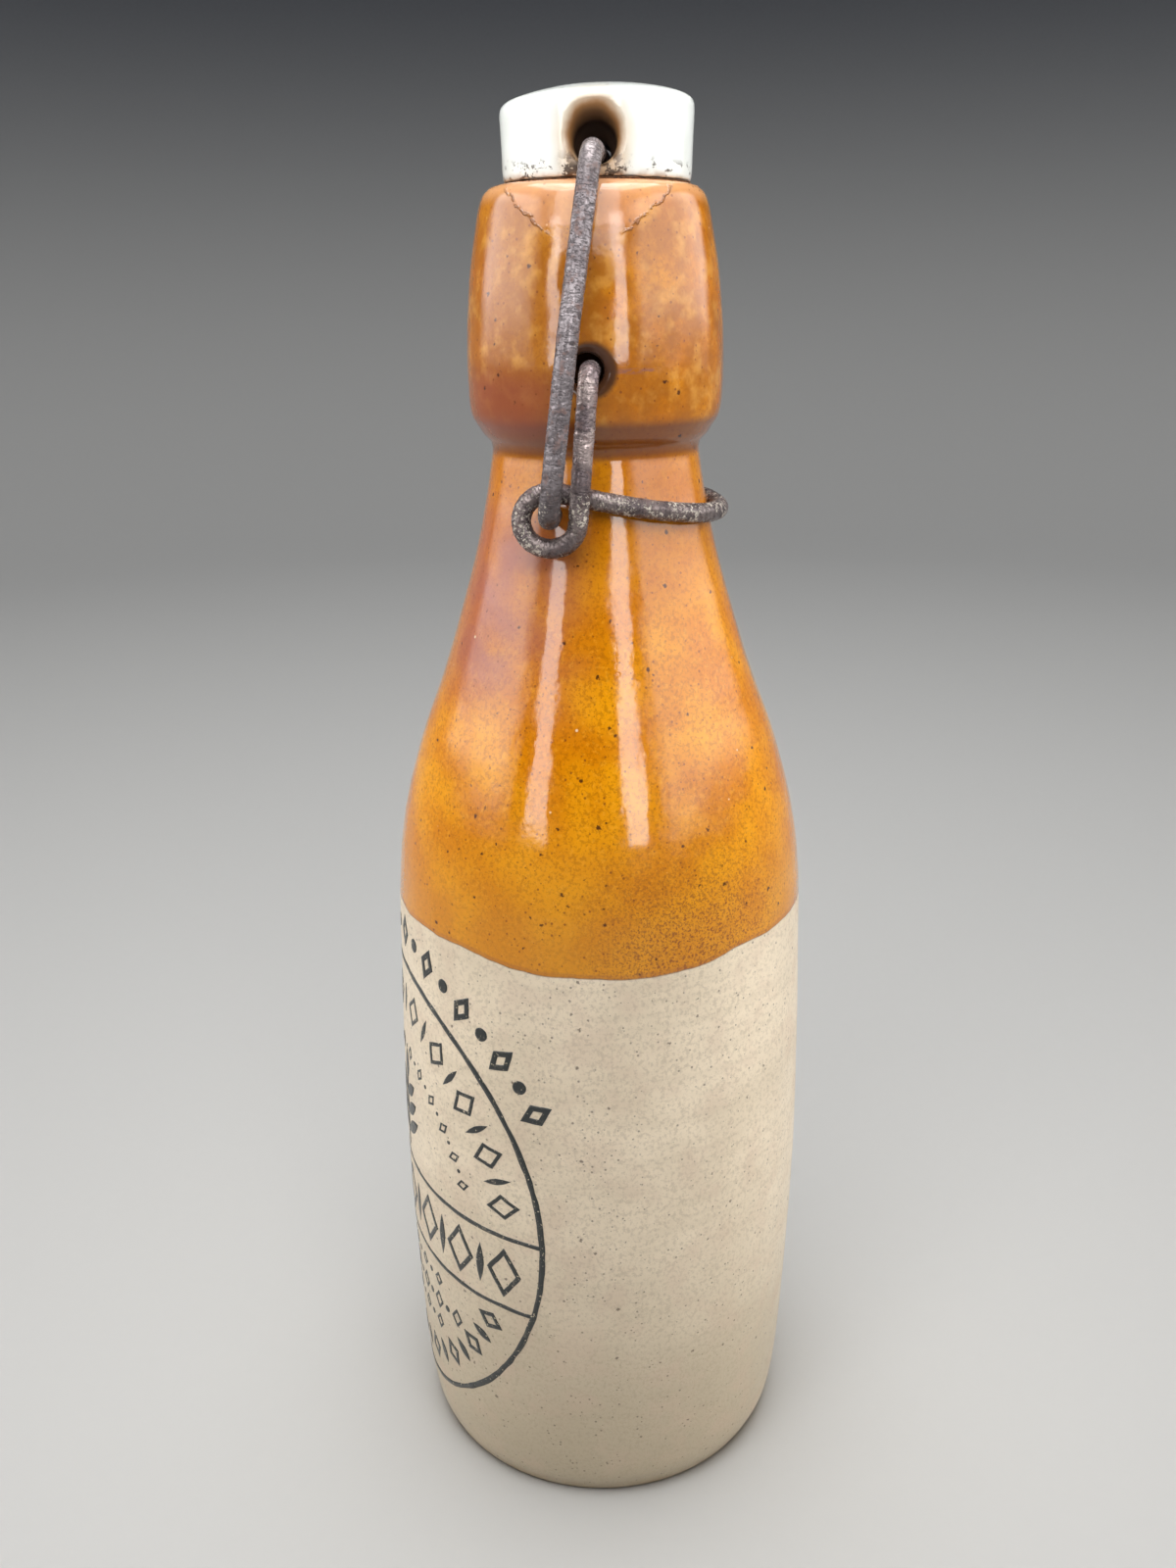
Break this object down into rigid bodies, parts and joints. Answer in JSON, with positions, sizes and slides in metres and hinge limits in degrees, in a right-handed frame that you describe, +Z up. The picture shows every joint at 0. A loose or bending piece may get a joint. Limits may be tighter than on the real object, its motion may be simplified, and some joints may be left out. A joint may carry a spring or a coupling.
{
  "type": "swing top bottle",
  "caption": "Stoneware bottle with a blob top, closed by a porcelain stopper and rubber seal on a sprung wire bail, which a wire lever looped round the neck pulls down over its centre.",
  "frame": {"origin": "centre of the base, on the plane the foot ring stands on", "axes": "+Z up along the bottle; X along the two wires' pivot axes; the lever's loop wraps the back of the neck at +Y, and -Y is the front"},
  "size_m": [0.0688, 0.0688, 0.2228],
  "materials": {
    "stoneware": "gloss",
    "porcelain": "gloss",
    "rubber": "matte",
    "bail_steel": "satin",
    "lever_steel": "satin"
  },
  "bodies": {
    "bottle": {"stoneware_bottle": "stoneware"},
    "lever": {"lever_wire": "lever_steel"},
    "bail": {"bail_wire": "bail_steel"},
    "stopper": {"porcelain_stopper": "porcelain", "rubber_seal": "rubber"}
  },
  "joints": [
    {"name": "lever_swing", "type": "hinge", "parent": "bottle", "child": "lever", "pos_m": [0, 0.0005, 0.1853], "axis": [1, 0, 0], "range_deg": [0, 94], "deforming": ["rubber_seal"]},
    {"name": "bail_pivot", "type": "hinge", "parent": "lever", "child": "bail", "pos_m": [0, -0.00505, 0.16575], "axis": [1, 0, 0], "range_deg": [-56, 0]},
    {"name": "stopper_tilt", "type": "hinge", "parent": "bail", "child": "stopper", "pos_m": [0, 0.0009, 0.2132], "axis": [1, 0, 0], "range_deg": [-39, 0]}
  ],
  "couplings": [
    {"joint": "bail_pivot", "follows": "lever_swing", "ratio": -0.59},
    {"joint": "stopper_tilt", "follows": "lever_swing", "ratio": -0.41}
  ]
}
